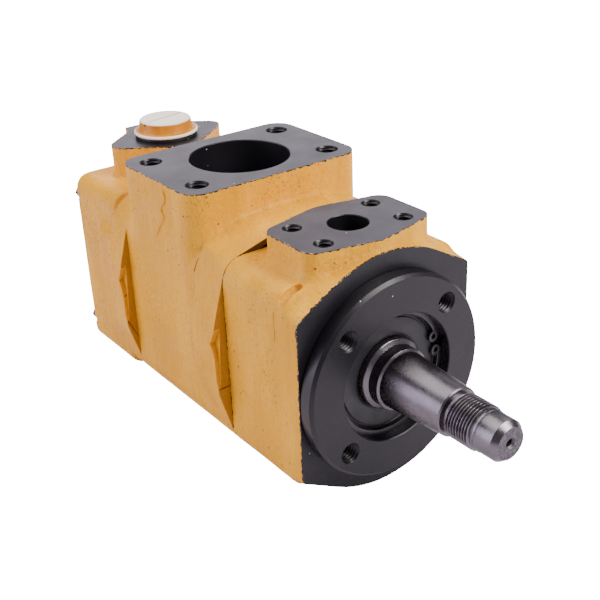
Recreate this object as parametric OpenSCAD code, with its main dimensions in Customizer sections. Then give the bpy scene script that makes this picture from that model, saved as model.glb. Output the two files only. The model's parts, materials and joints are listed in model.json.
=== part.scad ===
// Tandem vane pump: front body with mounting flange, inlet housing and rear cover on one shaft.
// Origin: shaft axis at the mounting face. The shaft points to -Y and the ports face +Z.

/* [Mounting flange] */
// Diameter of the pilot spigot
pilot_d = 114.3; // [108:0.1:118]
// Height of the pilot in front of the mounting face
pilot_h = 9.525; // [6:0.005:14]
// Chamfer on the front edge of the pilot
pilot_chamfer = 2; // [0.5:0.5:3]
// Width of the flange and of the front body across its flat sides
flange_w = 114.3; // [112:0.1:120]
// Height of the straight sides of the flange, corner to corner
flange_side_h = 92.4; // [86:0.1:100]
// Diameter of the round top and bottom of the flange
flange_d = 136.4; // [130:0.1:142]
// Thickness of the flange plate
flange_t = 11.3; // [8:0.1:15]
// Bolt circle of the threaded mounting holes
mount_pcd = 92.9; // [90:0.1:98]
// Wall diameter of the threaded mounting holes
mount_hole_d = 9.4; // [8:0.1:10.5]
// Depth of the threaded mounting holes
mount_hole_depth = 22; // [16:0.5:28]

/* [Housings] */
// Length of the front body behind the mounting face
front_len = 65.5; // [62:0.5:75]
// Length of the inlet housing between its two joints
inlet_len = 105.3; // [102:0.1:120]
// Length of the rear cover from its joint to its rear face
rear_len = 65.2; // [62:0.1:75]
// Diameter of the round joint flanges
joint_d = 135.4; // [133:0.1:140]
// Width of the joint flanges across their flats
joint_w = 129.2; // [124:0.1:133]
// Thickness of the joint flange of the inlet housing
inlet_flange_t = 23.8; // [18:0.1:28]
// Thickness of the joint flange of the rear cover
rear_flange_t = 18.2; // [14:0.1:24]
// Distance of the corner bolts from the shaft axis, sideways
bolt_x = 44.15; // [42:0.05:45]
// Distance of the corner bolts from the shaft axis, up and down
bolt_z = 44.5; // [42:0.05:46]
// Radius of the rounded corner round each bolt
corner_r = 13; // [11:0.5:14]
// Width of the inlet housing
inlet_w = 116; // [112:0.5:120]
// Height of the rear cover behind its flange
rear_h = 118.6; // [114:0.1:124]
// Corner radius of the rear cover
rear_corner_r = 10; // [6:0.5:14]
// Width of the flat feet under the joint flanges
foot_w = 56; // [40:1:70]
// Level of the feet below the shaft axis
foot_drop = 68.5; // [68.5:0.1:70]

/* [Inlet port] */
// Height of the inlet pad above the shaft axis
inlet_pad_z = 85.85; // [82:0.05:92]
// Distance of the inlet port behind the front joint
inlet_port_y = 64.9; // [62:0.1:68]
// Length of the inlet pad across the pump
inlet_pad_x = 116; // [112:0.5:120]
// Length of the inlet pad along the pump
inlet_pad_y = 80.8; // [78:0.2:81]
// Corner radius of the inlet pad
inlet_pad_r = 12; // [8:0.5:16]
// Bore of the inlet port
inlet_bore_d = 58.8; // [54:0.1:62]
// Long spacing of the inlet bolts
inlet_bolt_x = 88.9; // [86:0.1:90]
// Short spacing of the inlet bolts
inlet_bolt_y = 50.8; // [49:0.1:54]
// Wall diameter of the inlet bolt holes
inlet_bolt_d = 10.8; // [10:0.1:12]

/* [Front outlet port] */
// Height of the front outlet pad above the shaft axis
outlet_pad_z = 74.66; // [73:0.01:80]
// Distance of the front outlet behind the mounting face
outlet_port_y = 30.46; // [29:0.01:32]
// Radius of the round middle of the pad
outlet_pad_r = 28.3; // [26:0.1:29]
// Radius of the pad's four corners
outlet_corner_r = 8.5; // [7:0.1:10]
// Distance of the corner centres from the port, sideways
outlet_corner_x = 31.8; // [30:0.1:34]
// Bore of the front outlet port
outlet_bore_d = 21.6; // [18:0.1:24]
// Long spacing of the outlet bolts
outlet_bolt_x = 52.4; // [50:0.1:54]
// Short spacing of the outlet bolts
outlet_bolt_y = 26.2; // [24:0.1:28]
// Wall diameter of the outlet bolt holes
outlet_bolt_d = 8; // [7:0.1:9]

/* [Rear outlet port] */
// Height of the rear pad above the shaft axis
rear_pad_z = 79.1; // [76:0.1:84]
// Distance of the rear port behind the rear joint
rear_port_y = 45.5; // [43:0.1:48]
// Radius of the round middle of the rear pad
rear_pad_r = 27.5; // [25:0.1:29]
// Radius of the pad's two ends
rear_end_r = 9; // [7:0.1:12]
// Distance of the end centres from the port
rear_end_x = 29.7; // [27:0.1:32]
// Diameter of the port thread that the plug is screwed into
port_thread_d = 33.3; // [31:0.1:36]
// Length of the port thread
port_thread_len = 19; // [15:0.5:22]
// Width of the spine that stands out at the back of the cover
spine_w = 28; // [24:0.5:32]
// How far the spine stands out behind the rear face
spine_out = 11.6; // [9:0.1:14]

/* [Shaft] */
// Distance from the mounting face to the shaft tip
shaft_reach = 87.3; // [84:0.1:92]
// Diameter of the seal land
seal_land_d = 39.8; // [39:0.1:41]
// Diameter of the neck in front of the seal land
neck_d = 34.6; // [33:0.1:36]
// Large diameter of the taper
taper_d = 31.75; // [30:0.05:32.5]
// Small diameter of the taper
taper_end_d = 26.8; // [26:0.1:28]
// Distance from the mounting face to the large end of the taper
taper_start = 12.65; // [11:0.05:14]
// Length of the taper
taper_len = 39.5; // [36:0.5:41]
// Outer diameter of the nut thread
thread_d = 24.4; // [23.5:0.1:25.5]
// Pitch of the nut thread
thread_pitch = 1.814; // [1.5:0.001:2.2]
// Number of thread ridges
thread_ridges = 10; // [8:1:10]
// Diameter of the smooth point in front of the thread
point_d = 22; // [20:0.1:22.5]
// Width of the shaft key
key_w = 7.94; // [6:0.01:9]
// Diameter of the half-round shaft key
key_d = 28.5; // [24:0.1:30]

/* [Bearing and seal] */
// Outer diameter of the ball bearing and of the shaft seal
bearing_d = 72; // [71:0.5:74]
// Bore of the ball bearing
bearing_bore = 35; // [34:0.5:36]
// Width of the ball bearing
bearing_w = 17; // [15:0.5:18]
// Ball diameter
ball_d = 10.9; // [9.5:0.1:11.1]
// Number of balls
ball_count = 9; // [7:1:9]
// Width of the shaft seal
seal_w = 10; // [8:0.5:10.5]
// Thickness of the snap rings
snap_t = 2; // [1.5:0.1:2.4]

/* [Cartridges] */
// Outer diameter of the cam rings and plates
cartridge_d = 92; // [90:0.5:96]
// Width of the front cam ring
front_cam_w = 24; // [20:0.5:26]
// Width of the rear cam ring
rear_cam_w = 18; // [14:0.5:20]
// Small radius of the cam rings' oval bore
cam_minor_r = 32.5; // [31:0.1:33.5]
// Large radius of the cam rings' oval bore
cam_major_r = 36.5; // [35:0.1:38]
// Number of vanes in each rotor
vane_count = 12; // [8:2:12]
// Thickness of a vane
vane_t = 2; // [1.6:0.1:2.6]
// Height of a vane
vane_h = 9.5; // [8:0.1:10.5]
// Thickness of the pressure plates
pressure_plate_t = 12; // [10:0.5:13]
// Thickness of the side plates
side_plate_t = 8; // [7:0.5:9]
// Diameter of the splined shaft in the rotors
spline_d = 30; // [28:0.5:31]
// Number of spline teeth
spline_teeth = 16; // [12:1:20]
// Diameter of the rear journal and bore of the rear bush
journal_d = 24; // [22:0.5:25]

/* [Fasteners and plug] */
// Diameter of the long body bolts
body_bolt_d = 12; // [10:0.5:12.5]
// Width across flats of the bolt heads
bolt_head_af = 19; // [17:0.5:20]
// Height of the bolt heads
bolt_head_h = 7.9; // [6:0.1:9]
// Thickness of the washers
washer_t = 2.5; // [2:0.1:3]
// Depth of thread that the bolts reach into the front body
bolt_grip = 20; // [16:0.5:24]
// Diameter of the plug's flange
plug_flange_d = 40.8; // [38:0.1:43]
// Thickness of the plug's flange
plug_flange_t = 2.1; // [1.6:0.1:3]
// Diameter of the plug's head
plug_head_d = 33; // [30:0.1:35]
// Height of the plug's head above its flange
plug_head_h = 6.8; // [5:0.1:9]
// Thickness of the seal ring under the plug's flange
plug_seal_t = 2.1; // [1.6:0.1:3]

/* [Fits] */
// Running clearance on the radius between turning and fixed round faces
run_gap = 0.06; // [0.04:0.01:0.1]
// Clearance between pieces that are fitted and stay put
fit_gap = 0.05; // [0.02:0.01:0.08]
// Clearance between the rotors and what stands beside them
side_gap = 0.3; // [0.2:0.05:0.4]

/* [Hidden] */
$fn = 96;

// Stations along the pump
front_joint = front_len;
rear_joint = front_joint + inlet_len;
rear_face = rear_joint + rear_len;
inlet_flange_end = front_joint + inlet_flange_t;
rear_flange_end = rear_joint + rear_flange_t;
inlet_y = front_joint + inlet_port_y;
rear_port = rear_joint + rear_port_y;
bearing_r = bearing_d / 2;

// Seal and bearing stack, from the open end inwards
snap_front = -3.3;
groove_play = 0.1;
seal_front = snap_front + snap_t + groove_play;
seal_back = seal_front + seal_w;
bearing_front = seal_back + 0.8;
bearing_back = bearing_front + bearing_w;
bearing_bore_r = bearing_bore / 2;
ball_pitch_r = (bearing_r + bearing_bore_r) / 2;
ball_gap = 0.2;
race_wall = (bearing_r - bearing_bore_r) / 2 - ball_d / 2 + 2;
snap_in_r = bearing_r - 4;
snap_out_r = bearing_r + 1.7;
shaft_snap_out_r = bearing_bore_r + 2.6;
shaft_snap_in_r = bearing_bore_r - 1.2;

// Cartridges: each has its pressure plate on the outlet side and its side plate on the suction side
cart_r = cartridge_d / 2;
front_side_back = inlet_flange_end - 1.3;
front_side_front = front_side_back - side_plate_t;
front_cam_front = front_side_front - front_cam_w;
front_plate_front = front_cam_front - pressure_plate_t;
rear_side_front = rear_joint - 12.8;
rear_side_back = rear_side_front + side_plate_t;
rear_cam_back = rear_side_back + rear_cam_w;
rear_plate_back = rear_cam_back + pressure_plate_t;
rotor_r = cam_minor_r - 0.6;
vane_slot_bottom = rotor_r - vane_h - 1.2;
spline_root_r = spline_d / 2 - 1.5;
plate_bore_r = spline_d / 2 + 0.8;
dowel_r = 2.5;
dowel_pitch_r = (cam_major_r + cart_r) / 2 - 0.3;

// Cavities
web_t = 5;
web_back = bearing_back + snap_t + web_t;
front_chamber_back = front_plate_front;
chamber_r = cart_r - 3;
suction_r = 41;
suction_neck_d = inlet_bore_d + 4;
inlet_bore_len = 37.85;
outlet_bore_len = 24.66;
outlet_drop_d = outlet_bore_d * 0.62;
rear_wall_t = 6;
bush_wall = 4;
bush_len = 18;
bush_back = rear_face - rear_wall_t - 1;
bush_front = bush_back - bush_len;
hub_r = journal_d / 2 + bush_wall + 5;
rear_chamber_back = bush_back - 6;
rear_bore_d = port_thread_d - 8;

// Seals and bolts
ring_seal_r = 1.3;
joint_seal_mid_r = cart_r + 5;
plate_seal_r = 1.2;
bolt_hole_gap = 0.6;
mouth_chamfer = 0.4;
// Neighbouring blocks of one casting run this far into each other
lap = 0.4;
rear_pad_tab = rear_face + spine_out - rear_port;

// Shaft stations, from the tip
tip_y = -shaft_reach;
taper_back = -taper_start;
taper_front = taper_back - taper_len;
thread_back = taper_front - 2.4;
thread_front = thread_back - thread_ridges * thread_pitch;
land_front = -4.4;
centre_drill_d = 4.2;
centre_drill_depth = 7;
key_y = (taper_back + taper_front) / 2;
key_sink = 7.2;
key_proud = 4;

// Points where the outer tangent on side s touches circle c0, r0 and circle c1, r1
function tangent(c0, r0, c1, r1, s) =
    let (d = c1 - c0, a = atan2(d[1], d[0]), b = acos((r0 - r1) / norm(d)), n = a + s * b)
    [c0 + r0 * [cos(n), sin(n)], c1 + r1 * [cos(n), sin(n)]];

// Outline of two circles joined by their outer tangents
module blend(c0, r0, c1, r1) {
    up = tangent(c0, r0, c1, r1, 1);
    down = tangent(c0, r0, c1, r1, -1);
    translate(c0) circle(r0);
    if (r1 > 0) translate(c1) circle(r1);
    polygon([up[0], up[1], down[1], down[0]]);
}

// Round disc with four rounded corners, cut flat on both sides
module corner_disc(r, cx, cz, cr, w) {
    intersection() {
        union() for (sx = [-1, 1], sz = [-1, 1]) blend([0, 0], r, [sx * cx, sz * cz], cr);
        square([w, 4 * r], center = true);
    }
}

// Rectangle with four round corners
module rounded_box(x, y, r) {
    square([x, y - 2 * r], center = true);
    square([x - 2 * r, y], center = true);
    for (sx = [-1, 1], sy = [-1, 1]) translate([sx * (x / 2 - r), sy * (y / 2 - r)]) circle(r);
}

// Gives an outline drawn in X and Z a thickness from y0 to y1
module slab(y0, y1) translate([0, y1, 0]) rotate([90, 0, 0]) linear_extrude(y1 - y0) children();

// Cylinder on the shaft axis from y0 to y1
module bar(r, y0, y1) translate([0, y0, 0]) rotate([-90, 0, 0]) cylinder(r = r, h = y1 - y0);

// Solid turned about the shaft axis, from points of radius and station
module turned(points) rotate([-90, 0, 0]) rotate_extrude() polygon(points);

// Round ring of round section on the shaft axis
module ring_seal(mid_r, r, y) {
    rotate([-90, 0, 0]) translate([0, 0, y]) rotate_extrude() translate([mid_r, 0]) circle(r, $fn = 32);
}

// Blind tapped hole from a top pad downwards
module pad_hole(d, depth, top) translate([0, 0, top - depth]) cylinder(d = d, h = depth + 1);

// Repeats its child at the four corners of a rectangle
module at_corners(x, y) for (sx = [-1, 1], sy = [-1, 1]) translate([sx * x / 2, sy * y / 2, 0]) children();

// Repeats its child on the axes of the four body bolts
module at_bolts() for (sx = [-1, 1], sz = [-1, 1]) translate([sx * bolt_x, 0, sz * bolt_z]) children();

// Joint flange with flats, flat foot and a pry notch in the front edge of each flat
module joint_flange(y0, y1) {
    notch_in = 3.4;
    notch_top = 20.5;
    notch_low = -17;
    notch_deep = 5.2;
    notch_shallow = 1.3;
    deep_at = notch_top - 9;
    shallow_at = notch_top - 16;
    run_out = notch_low + 4;
    foot_up = 20;
    difference() {
        union() {
            slab(y0, y1) corner_disc(joint_d / 2, bolt_x, bolt_z, corner_r, joint_w);
            translate([-foot_w / 2, y0, -foot_drop]) cube([foot_w, y1 - y0, foot_up]);
        }
        // Seen from the side: deepest near its upper end, shallow below
        for (s = [-1, 1]) translate([s * (joint_w / 2 - notch_in / 2 + 0.5), 0, 0]) rotate([90, 0, 90])
            linear_extrude(notch_in + 1, center = true) polygon([[y0 - 1, notch_top], [y0, notch_top],
                [y0 + notch_deep, deep_at], [y0 + notch_shallow, shallow_at],
                [y0 + notch_shallow, run_out], [y0, notch_low], [y0 - 1, notch_low]]);
    }
}

module front_body() color([0.85, 0.6, 0.2]) difference() {
    groove_r = 4;
    groove_len = 14;
    groove_x = bolt_x + 0.35 * corner_r;
    groove_z = bolt_z + 0.81 * corner_r;
    union() {
        slab(0, flange_t) intersection() {
            union() for (sx = [-1, 1], sz = [-1, 1])
                blend([0, 0], flange_d / 2, [sx * flange_w / 2, sz * flange_side_h / 2], 0);
            square([flange_w, 2 * flange_d], center = true);
        }
        // Body behind the flange plate, lower at its top than the flanges at both of its ends
        slab(flange_t - lap, front_joint) rounded_box(flange_w, 2 * (bolt_z + corner_r), corner_r);
        bar(pilot_d / 2, -pilot_h + pilot_chamfer, 0);
        turned([[0, -pilot_h], [pilot_d / 2 - pilot_chamfer, -pilot_h],
            [pilot_d / 2, -pilot_h + pilot_chamfer], [0, -pilot_h + pilot_chamfer]]);
        translate([0, outlet_port_y, 0]) linear_extrude(outlet_pad_z) {
            for (sx = [-1, 1], sy = [-1, 1]) blend([0, 0], outlet_pad_r,
                [sx * outlet_corner_x, sy * outlet_bolt_y / 2], outlet_corner_r);
            square([2 * (outlet_corner_x + outlet_corner_r), outlet_bolt_y], center = true);
        }
    }
    // Groove behind each corner of the flange plate
    for (sx = [-1, 1], sz = [-1, 1]) translate([sx * groove_x, flange_t + groove_r, sz * groove_z])
        rotate([0, sx * sz * 33, 0]) {
            rotate([0, 90, 0]) cylinder(r = groove_r, h = groove_len, center = true);
            for (s = [-1, 1]) translate([s * groove_len / 2, 0, 0]) sphere(groove_r, $fn = 32);
        }
    // Seat of the seal and the ball bearing, with the groove of the snap ring
    bar(bearing_r + fit_gap, -pilot_h - 1, bearing_back + fit_gap);
    bar(snap_out_r + fit_gap, snap_front - groove_play, snap_front + snap_t + groove_play);
    turned([[0, -pilot_h - 1], [bearing_r + mouth_chamfer, -pilot_h - 1], [bearing_r + mouth_chamfer, -pilot_h],
        [bearing_r, -pilot_h + mouth_chamfer], [0, -pilot_h + mouth_chamfer]]);
    bar(shaft_snap_out_r + 1, 0, web_back);
    // Outlet chamber and pocket of the front cartridge
    bar(chamber_r, web_back, front_chamber_back);
    bar(cart_r + fit_gap, front_chamber_back, front_joint + 1);
    // Front outlet port
    translate([0, outlet_port_y, outlet_pad_z - outlet_bore_len])
        cylinder(d = outlet_bore_d, h = outlet_bore_len + 1);
    translate([0, (web_back + front_chamber_back) / 2, 0])
        cylinder(d = outlet_drop_d, h = outlet_pad_z - outlet_bore_len + 1);
    translate([0, outlet_port_y, 0]) at_corners(outlet_bolt_x, outlet_bolt_y)
        pad_hole(outlet_bolt_d, 19, outlet_pad_z);
    // Threaded mounting holes in the pilot
    for (a = [45 : 90 : 315]) rotate([0, a, 0]) translate([mount_pcd / 2, 0, 0])
        bar(mount_hole_d / 2, -pilot_h - 1, -pilot_h + mount_hole_depth);
    // Tapped ends of the long body bolts and the groove of the joint seal
    at_bolts() bar(body_bolt_d / 2 + fit_gap, front_joint - bolt_grip - 3, front_joint + 1);
    joint_groove(front_joint, -1);
}

// Groove for a joint seal, cut into the face at station y towards side s
module joint_groove(y, s) {
    depth = 2 * ring_seal_r + fit_gap;
    slab(min(y, y + s * depth) - (s > 0 ? 1 : 0), max(y, y + s * depth) + (s < 0 ? 1 : 0)) difference() {
        circle(joint_seal_mid_r + ring_seal_r + 0.2);
        circle(joint_seal_mid_r - ring_seal_r - 0.2);
    }
}

module inlet_housing() color([0.85, 0.6, 0.2]) difference() {
    saddle_z = joint_d / 2 - 1.4;
    saddle_w = 60;
    saddle_drop = 9.3;
    saddle_t = 7;
    union() {
        joint_flange(front_joint, inlet_flange_end);
        slab(inlet_flange_end - lap, rear_joint) corner_disc(joint_d / 2, bolt_x, bolt_z, corner_r, inlet_w);
        translate([0, inlet_y, 0]) linear_extrude(inlet_pad_z)
            rounded_box(inlet_pad_x, inlet_pad_y, inlet_pad_r);
        // Sloping saddle where the port tower meets the flange
        slab(inlet_flange_end - saddle_t + 2, inlet_flange_end + 2) polygon([
            [-flange_w / 2, 0], [-flange_w / 2, saddle_z - saddle_drop], [-saddle_w / 2, saddle_z],
            [saddle_w / 2, saddle_z], [flange_w / 2, saddle_z - saddle_drop], [flange_w / 2, 0]]);
    }
    // Pocket of the front cartridge, suction chamber and pocket of the rear cartridge
    bar(cart_r + fit_gap, front_joint - 1, front_side_back);
    bar(suction_r, front_side_back - 1, rear_side_front + 1);
    bar(cart_r + fit_gap, rear_side_front, rear_joint + 1);
    // Inlet port
    translate([0, inlet_y, inlet_pad_z - inlet_bore_len]) cylinder(d = inlet_bore_d, h = inlet_bore_len + 1);
    translate([0, inlet_y, 0]) cylinder(d = suction_neck_d, h = inlet_pad_z - inlet_bore_len + 0.5);
    translate([0, inlet_y, 0]) at_corners(inlet_bolt_x, inlet_bolt_y) pad_hole(inlet_bolt_d, 27, inlet_pad_z);
    at_bolts() bar(body_bolt_d / 2 + bolt_hole_gap, front_joint - 1, rear_joint + 1);
    // The rear joint face is cut flat over the whole casting
    slab(rear_joint, rear_joint + flange_t) square(3 * joint_w, center = true);
}

module rear_cover() color([0.85, 0.6, 0.2]) difference() {
    side_boss_z = 38;
    side_boss_out = 4;
    union() {
        joint_flange(rear_joint, rear_flange_end);
        slab(rear_flange_end - lap, rear_face) rounded_box(flange_w, rear_h, rear_corner_r);
        // Side bosses that carry the flats of the flange on to the cover
        slab(rear_flange_end - lap, rear_flange_end + 17) polygon([
            [-flange_w / 2 - side_boss_out, -side_boss_z + 6], [-flange_w / 2 - side_boss_out, side_boss_z - 4],
            [-flange_w / 2, side_boss_z + 4], [flange_w / 2, side_boss_z + 4],
            [flange_w / 2 + side_boss_out, side_boss_z - 4], [flange_w / 2 + side_boss_out, -side_boss_z + 6],
            [flange_w / 2, -side_boss_z - 4], [-flange_w / 2, -side_boss_z - 4]]);
        // Rear pad with its back tab, and the spine that carries the outlet passage down the back
        translate([0, rear_port, 0]) linear_extrude(rear_pad_z) {
            for (s = [-1, 1]) blend([0, 0], rear_pad_r, [s * rear_end_x, 0], rear_end_r);
            translate([-spine_w / 2, 0]) square([spine_w, rear_pad_tab]);
        }
        slab(rear_face - lap, rear_face + spine_out) {
            translate([-spine_w / 2, -10]) square([spine_w, 20 + rear_pad_z / 2]);
            translate([0, -10]) circle(spine_w / 2);
        }
    }
    // Pocket of the rear cartridge, outlet chamber and seat of the rear bush
    bar(cart_r + fit_gap, rear_joint - 1, rear_plate_back);
    difference() {
        bar(chamber_r, rear_plate_back - 1, rear_chamber_back);
        bar(hub_r, bush_front - 1, rear_chamber_back + 1);
    }
    bar(journal_d / 2 + bush_wall + fit_gap, bush_front - 2, bush_back);
    // Rear outlet port
    translate([0, rear_port, rear_pad_z - port_thread_len])
        cylinder(d = port_thread_d, h = port_thread_len + 1);
    translate([0, rear_port, hub_r + 6]) cylinder(d = rear_bore_d, h = rear_pad_z - hub_r - 6 - 1);
    at_bolts() bar(body_bolt_d / 2 + bolt_hole_gap, rear_joint - 1, rear_face + 1);
    joint_groove(rear_joint, 1);
}

// Half-round key seen from its side: sunk below the shaft's surface and cut flat above it
module key_outline(d, sink, proud) intersection() {
    translate([0, d / 2 - sink]) circle(d / 2);
    translate([-d, -sink - 1]) square([2 * d, sink + proud + 1]);
}

module drive_shaft() color([0.45, 0.44, 0.46]) difference() {
    thread_root = thread_d / 2 - 0.61 * thread_pitch;
    union() {
        turned(concat(
            [[0, tip_y], [point_d / 2 - 2.3, tip_y], [point_d / 2, tip_y + 2.2],
                [point_d / 2, thread_front - 2.6], [thread_d / 2 - 0.3, thread_front - 1.6],
                [thread_d / 2 - 0.3, thread_front - 0.6], [thread_root, thread_front]],
            [for (i = [0 : thread_ridges - 1], k = [0 : 2]) [[thread_root, thread_d / 2, thread_d / 2][k],
                thread_front + (i + [0.08, 0.46, 0.62][k]) * thread_pitch]],
            [[thread_root, thread_back], [thread_root - 0.4, thread_back],
                [thread_root - 0.4, taper_front - 0.4], [taper_end_d / 2 - 0.5, taper_front - 0.4],
                [taper_end_d / 2, taper_front + 0.1], [taper_d / 2, taper_back],
                [neck_d / 2 - 0.7, taper_back], [neck_d / 2, taper_back + 0.7], [neck_d / 2, land_front - 1.3],
                [seal_land_d / 2 - 0.6, land_front - 0.4], [seal_land_d / 2, land_front + 0.4],
                [seal_land_d / 2, bearing_front], [bearing_bore_r, bearing_front],
                [bearing_bore_r, bearing_back + groove_play], [shaft_snap_in_r, bearing_back + groove_play],
                [shaft_snap_in_r, bearing_back + snap_t + 2 * groove_play],
                [bearing_bore_r, bearing_back + snap_t + 2 * groove_play],
                [bearing_bore_r, bearing_back + snap_t + 2], [spline_root_r, bearing_back + snap_t + 4],
                [spline_root_r, rear_plate_back + 2], [journal_d / 2, rear_plate_back + 4],
                [journal_d / 2, bush_back - 1], [journal_d / 2 - 1, bush_back - 0.5], [0, bush_back - 0.5]]));
        spline(front_plate_front, front_side_back + 2);
        spline(rear_side_front - 2, rear_plate_back);
    }
    translate([0, tip_y - 1, 0]) rotate([-90, 0, 0]) cylinder(d = centre_drill_d, h = centre_drill_depth + 1);
    turned([[0, tip_y - 0.01], [centre_drill_d / 2 + 0.9, tip_y - 0.01], [0, tip_y + centre_drill_d / 2 + 0.9]]);
    // Seat of the key, on the lower right of the taper
    key_place() linear_extrude(key_w + 2 * fit_gap, center = true)
        key_outline(key_d + 2 * fit_gap, key_sink + fit_gap, 12);
}

// External splines: straight teeth round the shaft from y0 to y1
module spline(y0, y1) slab(y0, y1) intersection() {
    circle(spline_d / 2);
    union() for (i = [0 : spline_teeth - 1]) rotate(i * 360 / spline_teeth)
        translate([0, -PI * spline_d / spline_teeth / 4]) square([spline_d, PI * spline_d / spline_teeth / 2]);
}

// Carries the key from its own plane to its seat in the taper
module key_place() {
    seat_r = (taper_d + taper_end_d) / 4;
    slope = atan((taper_d - taper_end_d) / 2 / taper_len);
    rotate([0, 130, 0]) translate([0, key_y, seat_r]) rotate([slope, 0, 0]) rotate([90, 0, 90]) children();
}

module shaft_key() color([0.5, 0.5, 0.52])
    key_place() linear_extrude(key_w, center = true) key_outline(key_d, key_sink, key_proud);

module shaft_seal() color([0.12, 0.12, 0.13]) turned([
    [bearing_r, seal_front + 0.6], [bearing_r - 0.6, seal_front], [seal_land_d / 2 + 2.6, seal_front],
    [seal_land_d / 2 + run_gap, seal_front + 3.4], [seal_land_d / 2 + 1.2, seal_front + 5],
    [seal_land_d / 2 + 1.6, seal_front + 5.4], [seal_land_d / 2 + 4.2, seal_front + 5.4],
    [seal_land_d / 2 + 4.2, seal_front + 2.4], [bearing_r - 2.6, seal_front + 2.4],
    [bearing_r - 2.6, seal_back], [bearing_r, seal_back]]);

// Garter spring round the sealing lip
module seal_spring() color([0.6, 0.6, 0.62]) ring_seal(seal_land_d / 2 + 2.9, 0.85, seal_front + 6.3);

// Internal snap ring: open ring with two eared ends
module seal_snap_ring() color([0.3, 0.3, 0.32]) slab(snap_front, snap_front + snap_t) {
    gap_a = 12;
    ear_a = 8;
    ear_r = 3.4;
    ends_a = ear_a - 2;
    for (a = [gap_a - ear_a, gap_a + ear_a]) rotate(a) translate([snap_in_r + 0.2, 0]) difference() {
        circle(ear_r, $fn = 48);
        circle(1.3, $fn = 32);
    }
    difference() {
        circle(snap_out_r);
        circle(snap_in_r + 1);
        polygon([[0, 0], 2 * snap_out_r * [cos(gap_a - ends_a), sin(gap_a - ends_a)],
            2 * snap_out_r * [cos(gap_a + ends_a), sin(gap_a + ends_a)]]);
        for (a = [gap_a - ear_a, gap_a + ear_a]) rotate(a) translate([snap_in_r + 0.2, 0]) circle(1.3, $fn = 32);
    }
}

// Race of the ball bearing between two radii, with the balls' groove
module race(r_in, r_out) difference() {
    slab(bearing_front, bearing_back) difference() {
        circle(r_out);
        circle(r_in);
    }
    ring_seal(ball_pitch_r, ball_d / 2 + ball_gap, (bearing_front + bearing_back) / 2);
}

module bearing_outer_race() color([0.7, 0.7, 0.72]) race(bearing_r - race_wall, bearing_r);

module bearing_inner_race() color([0.7, 0.7, 0.72]) race(bearing_bore_r + fit_gap, bearing_bore_r + race_wall);

module bearing_balls() color([0.8, 0.8, 0.82])
    for (i = [0 : ball_count - 1]) rotate([0, i * 360 / ball_count, 0])
    translate([ball_pitch_r, (bearing_front + bearing_back) / 2, 0]) sphere(d = ball_d, $fn = 48);

module bearing_cage() color([0.7, 0.55, 0.25]) difference() {
    mid = (bearing_front + bearing_back) / 2;
    half_w = ball_d / 2 + 1.5;
    slab(mid - half_w, mid + half_w) difference() {
        circle(ball_pitch_r + 1.1);
        circle(ball_pitch_r - 1.1);
    }
    for (i = [0 : ball_count - 1]) rotate([0, i * 360 / ball_count, 0])
        translate([ball_pitch_r, mid, 0]) rotate([0, 90, 0]) cylinder(d = ball_d + 0.3, h = 8, center = true);
}

module shaft_snap_ring() color([0.3, 0.3, 0.32])
    slab(bearing_back + groove_play, bearing_back + groove_play + snap_t) difference() {
        circle(shaft_snap_out_r);
        circle(shaft_snap_in_r + fit_gap);
        polygon([[0, 0], 2 * bearing_r * [cos(80), sin(80)], 2 * bearing_r * [cos(100), sin(100)]]);
    }

// Radius of the oval cam bore at angle a: two rises and two falls in a turn
function cam_r(a) = cam_minor_r + (cam_major_r - cam_minor_r) * (1 - cos(2 * a)) / 2;

// Repeats its child at the two dowels of a cartridge
module at_dowels() for (s = [-1, 1]) translate([0, 0, s * dowel_pitch_r]) children();

module cam_ring(y0, y1) difference() {
    steps = 120;
    slab(y0, y1) difference() {
        circle(cart_r);
        polygon([for (i = [0 : steps - 1]) let (a = i * 360 / steps) cam_r(a) * [cos(a), sin(a)]]);
    }
    at_dowels() bar(dowel_r + fit_gap, y0 - 1, y1 + 1);
}

// Slotted rotor with splined bore
module rotor(y0, y1) slab(y0 + side_gap, y1 - side_gap) difference() {
    circle(rotor_r);
    circle(spline_d / 2 + fit_gap);
    for (i = [0 : vane_count - 1]) rotate((i + 0.5) * 360 / vane_count)
        translate([vane_slot_bottom, -vane_t / 2 - fit_gap]) {
            square([rotor_r, vane_t + 2 * fit_gap]);
            translate([0, vane_t / 2 + fit_gap]) circle(vane_t * 0.75, $fn = 24);
        }
}

module vanes(y0, y1) slab(y0 + side_gap, y1 - side_gap)
    for (i = [0 : vane_count - 1]) rotate((i + 0.5) * 360 / vane_count)
        translate([rotor_r - vane_h, -vane_t / 2]) square([vane_h, vane_t]);

// Port plate with two suction windows, two pressure windows and the dowel holes
module port_plate(y0, y1) difference() {
    window_in = cam_minor_r - 5;
    window_out = cam_minor_r + 1;
    slab(y0, y1) difference() {
        circle(cart_r);
        circle(plate_bore_r);
        for (a = [45 : 90 : 315]) rotate(a) intersection() {
            difference() {
                circle(window_out);
                circle(window_in);
            }
            polygon([[0, 0], cartridge_d * [cos(-20), sin(-20)], cartridge_d * [cos(20), sin(20)]]);
        }
    }
    at_dowels() bar(dowel_r + fit_gap, y0 - 1, y1 + 1);
}

// Pressure plate: port plate with a seal groove in its rim
module pressure_plate(y0, y1) difference() {
    port_plate(y0, y1);
    slab((y0 + y1) / 2 - plate_seal_r - 0.1, (y0 + y1) / 2 + plate_seal_r + 0.1) difference() {
        circle(cart_r + 1);
        circle(cart_r - 2 * plate_seal_r - fit_gap);
    }
}

module front_pressure_plate() color([0.6, 0.5, 0.35]) pressure_plate(front_plate_front, front_cam_front);

module front_cam_ring() color([0.55, 0.56, 0.6]) cam_ring(front_cam_front, front_side_front);

module front_rotor() color([0.5, 0.5, 0.55]) rotor(front_cam_front, front_side_front);

module front_vanes() color([0.75, 0.76, 0.8]) vanes(front_cam_front, front_side_front);

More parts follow.
